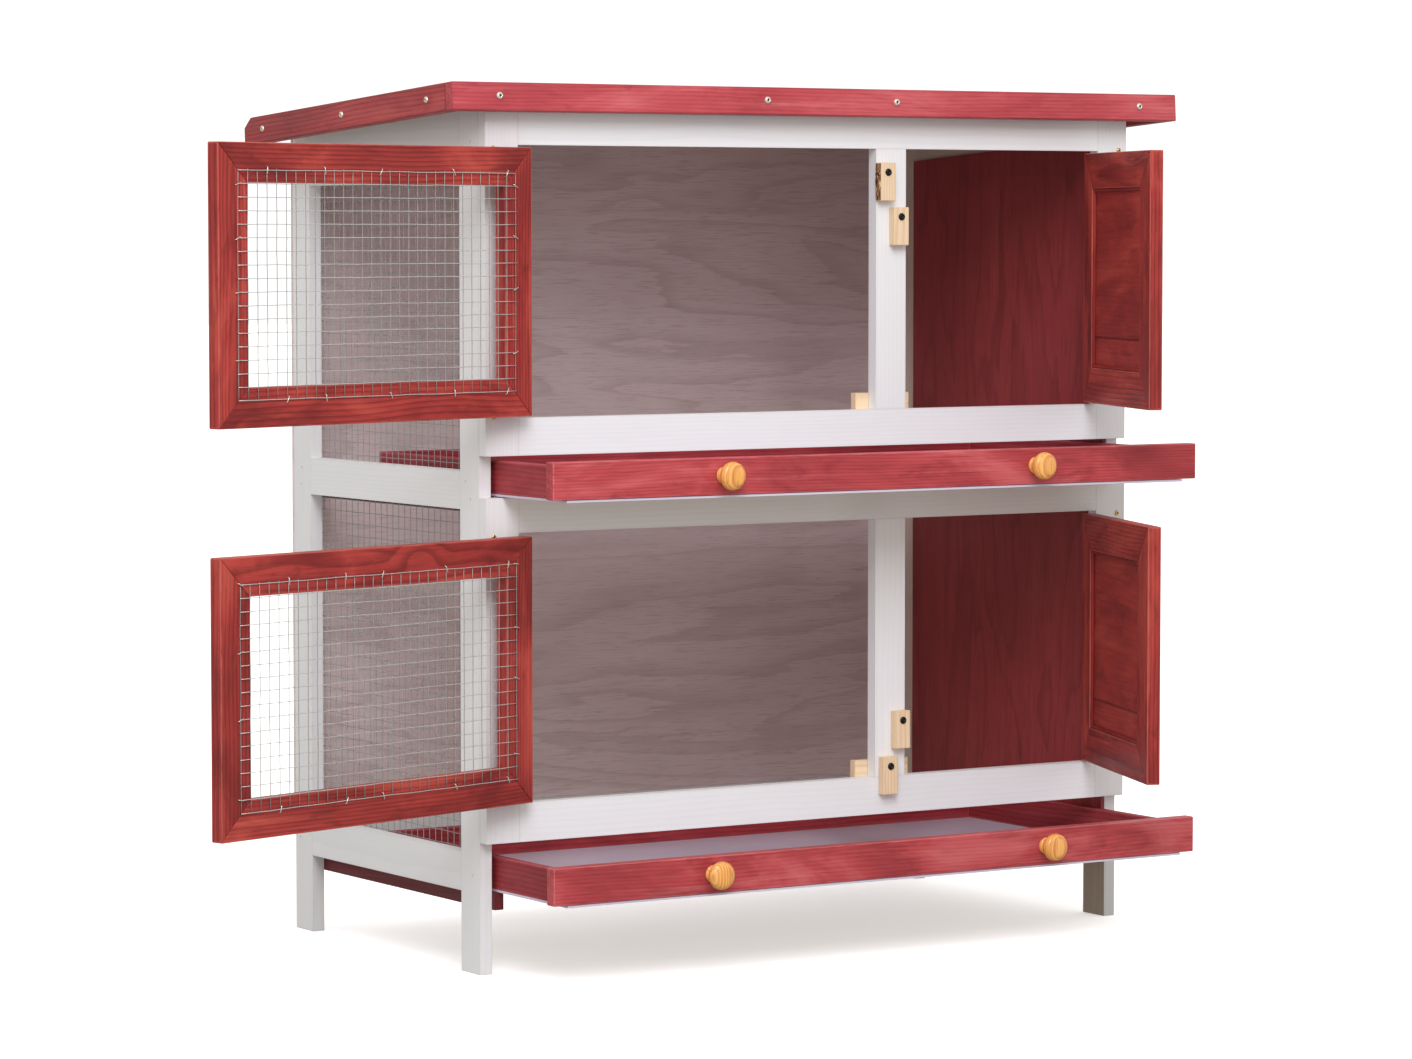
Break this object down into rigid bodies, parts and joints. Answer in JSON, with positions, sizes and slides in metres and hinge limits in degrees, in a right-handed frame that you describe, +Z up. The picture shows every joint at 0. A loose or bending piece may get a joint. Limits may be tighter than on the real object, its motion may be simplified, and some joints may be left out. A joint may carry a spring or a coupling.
{
  "type": "rabbit hutch",
  "caption": "Two-storey timber rabbit hutch with wire and panel doors, turn buttons, slide-out floor trays and a sloping roof.",
  "frame": {"origin": "bottom centre of the bounding box with the doors open and the trays pulled out as stored", "axes": "+X to the right seen from the front, +Y from the front towards the back sheet, +Z up"},
  "size_m": [1.2224, 0.6616, 0.8965],
  "materials": {
    "white_paint": "satin off-white paint over brushed softwood",
    "red_paint": "satin pinkish-red paint over softwood",
    "dark_red_paint": "thin dark red paint",
    "wall_plywood": "dark red stained plywood",
    "back_plywood": "grey-mauve stained plywood, grain showing",
    "natural_pine": "bare planed pine",
    "varnished_wood": "glossy orange varnish, grain showing",
    "roof_felt": "mineral roofing felt on a thin board",
    "wire": "galvanised welded wire",
    "hinge_metal": "brassed steel"
  },
  "bodies": {
    "carcass": {"post_front_left": "white_paint", "post_front_right": "white_paint", "post_back_left": "white_paint", "post_back_right": "white_paint", "low_rail_left": "white_paint", "low_rail_right": "white_paint", "mid_rail_left": "white_paint", "mid_rail_right": "white_paint", "gable_left": "white_paint", "low_rail_back": "white_paint", "stile_left_lower": "white_paint", "stile_left_upper": "white_paint", "stile_right_lower": "white_paint", "stile_right_upper": "white_paint", "bottom_rail_lower": "white_paint", "bottom_rail_upper": "white_paint", "top_rail_lower": "white_paint", "top_rail_upper": "white_paint", "mullion_lower": "white_paint", "mullion_upper": "white_paint", "fascia_front": "red_paint", "fascia_left": "red_paint", "fascia_right": "red_paint", "runner_lower_left": "dark_red_paint", "runner_lower_right": "dark_red_paint", "runner_upper_left": "dark_red_paint", "runner_upper_right": "dark_red_paint", "wall_right": "wall_plywood", "back_sheet": "back_plywood", "door_stop_lower": "natural_pine", "door_stop_upper": "natural_pine", "roof_deck": "roof_felt", "window_mesh_lower": "wire", "window_mesh_upper": "wire", "hinge_lower_left_1": "hinge_metal", "hinge_lower_left_2": "hinge_metal", "hinge_lower_right_1": "hinge_metal", "hinge_lower_right_2": "hinge_metal", "hinge_upper_left_1": "hinge_metal", "hinge_upper_left_2": "hinge_metal", "hinge_upper_right_1": "hinge_metal", "hinge_upper_right_2": "hinge_metal"},
    "mesh_door_lower": {"mesh_door_lower": "red_paint", "door_wire_lower": "wire"},
    "panel_door_lower": {"panel_door_lower": "red_paint"},
    "tray_lower": {"tray_lower": "dark_red_paint", "tray_front_lower": "red_paint", "knob_lower_1": "varnished_wood", "knob_lower_2": "varnished_wood"},
    "turn_button_lower_left": {"turn_button_lower_left": "natural_pine"},
    "turn_button_lower_right": {"turn_button_lower_right": "natural_pine"},
    "mesh_door_upper": {"mesh_door_upper": "red_paint", "door_wire_upper": "wire"},
    "panel_door_upper": {"panel_door_upper": "red_paint"},
    "tray_upper": {"tray_upper": "dark_red_paint", "tray_front_upper": "red_paint", "knob_upper_1": "varnished_wood", "knob_upper_2": "varnished_wood"},
    "turn_button_upper_left": {"turn_button_upper_left": "natural_pine"},
    "turn_button_upper_right": {"turn_button_upper_right": "natural_pine"}
  },
  "joints": [
    {"name": "mesh_door_upper_hinge", "type": "hinge", "parent": "carcass", "child": "mesh_door_upper", "pos_m": [-0.1998, -0.09928, 0.6983], "axis": [0, 0, -1], "range_deg": [-163, 8]},
    {"name": "panel_door_upper_hinge", "type": "hinge", "parent": "carcass", "child": "panel_door_upper", "pos_m": [0.5222, -0.09928, 0.6983], "axis": [0, 0, 1], "range_deg": [-69, 100]},
    {"name": "tray_upper_slide", "type": "slide", "parent": "carcass", "child": "tray_upper", "axis": [0, -1, 0], "range_m": [-0.128, 0.17]},
    {"name": "mesh_door_lower_hinge", "type": "hinge", "parent": "carcass", "child": "mesh_door_lower", "pos_m": [-0.1998, -0.09928, 0.3098], "axis": [0, 0, -1], "range_deg": [-163, 8]},
    {"name": "panel_door_lower_hinge", "type": "hinge", "parent": "carcass", "child": "panel_door_lower", "pos_m": [0.5222, -0.09928, 0.3098], "axis": [0, 0, 1], "range_deg": [-69, 100]},
    {"name": "tray_lower_slide", "type": "slide", "parent": "carcass", "child": "tray_lower", "axis": [0, -1, 0], "range_m": [-0.128, 0.17]},
    {"name": "turn_button_upper_left_pivot", "type": "hinge", "parent": "carcass", "child": "turn_button_upper_left", "pos_m": [0.2422, -0.10148, 0.8105], "axis": [0, -1, 0], "range_deg": [-90, 90]},
    {"name": "turn_button_upper_right_pivot", "type": "hinge", "parent": "carcass", "child": "turn_button_upper_right", "pos_m": [0.2592, -0.10148, 0.764], "axis": [0, 1, 0], "range_deg": [-90, 90]},
    {"name": "turn_button_lower_right_pivot", "type": "hinge", "parent": "carcass", "child": "turn_button_lower_right", "pos_m": [0.2627, -0.10148, 0.233], "axis": [0, 1, 0], "range_deg": [-90, 90]},
    {"name": "turn_button_lower_left_pivot", "type": "hinge", "parent": "carcass", "child": "turn_button_lower_left", "pos_m": [0.2472, -0.10148, 0.185], "axis": [0, -1, 0], "range_deg": [-90, 90]}
  ]
}
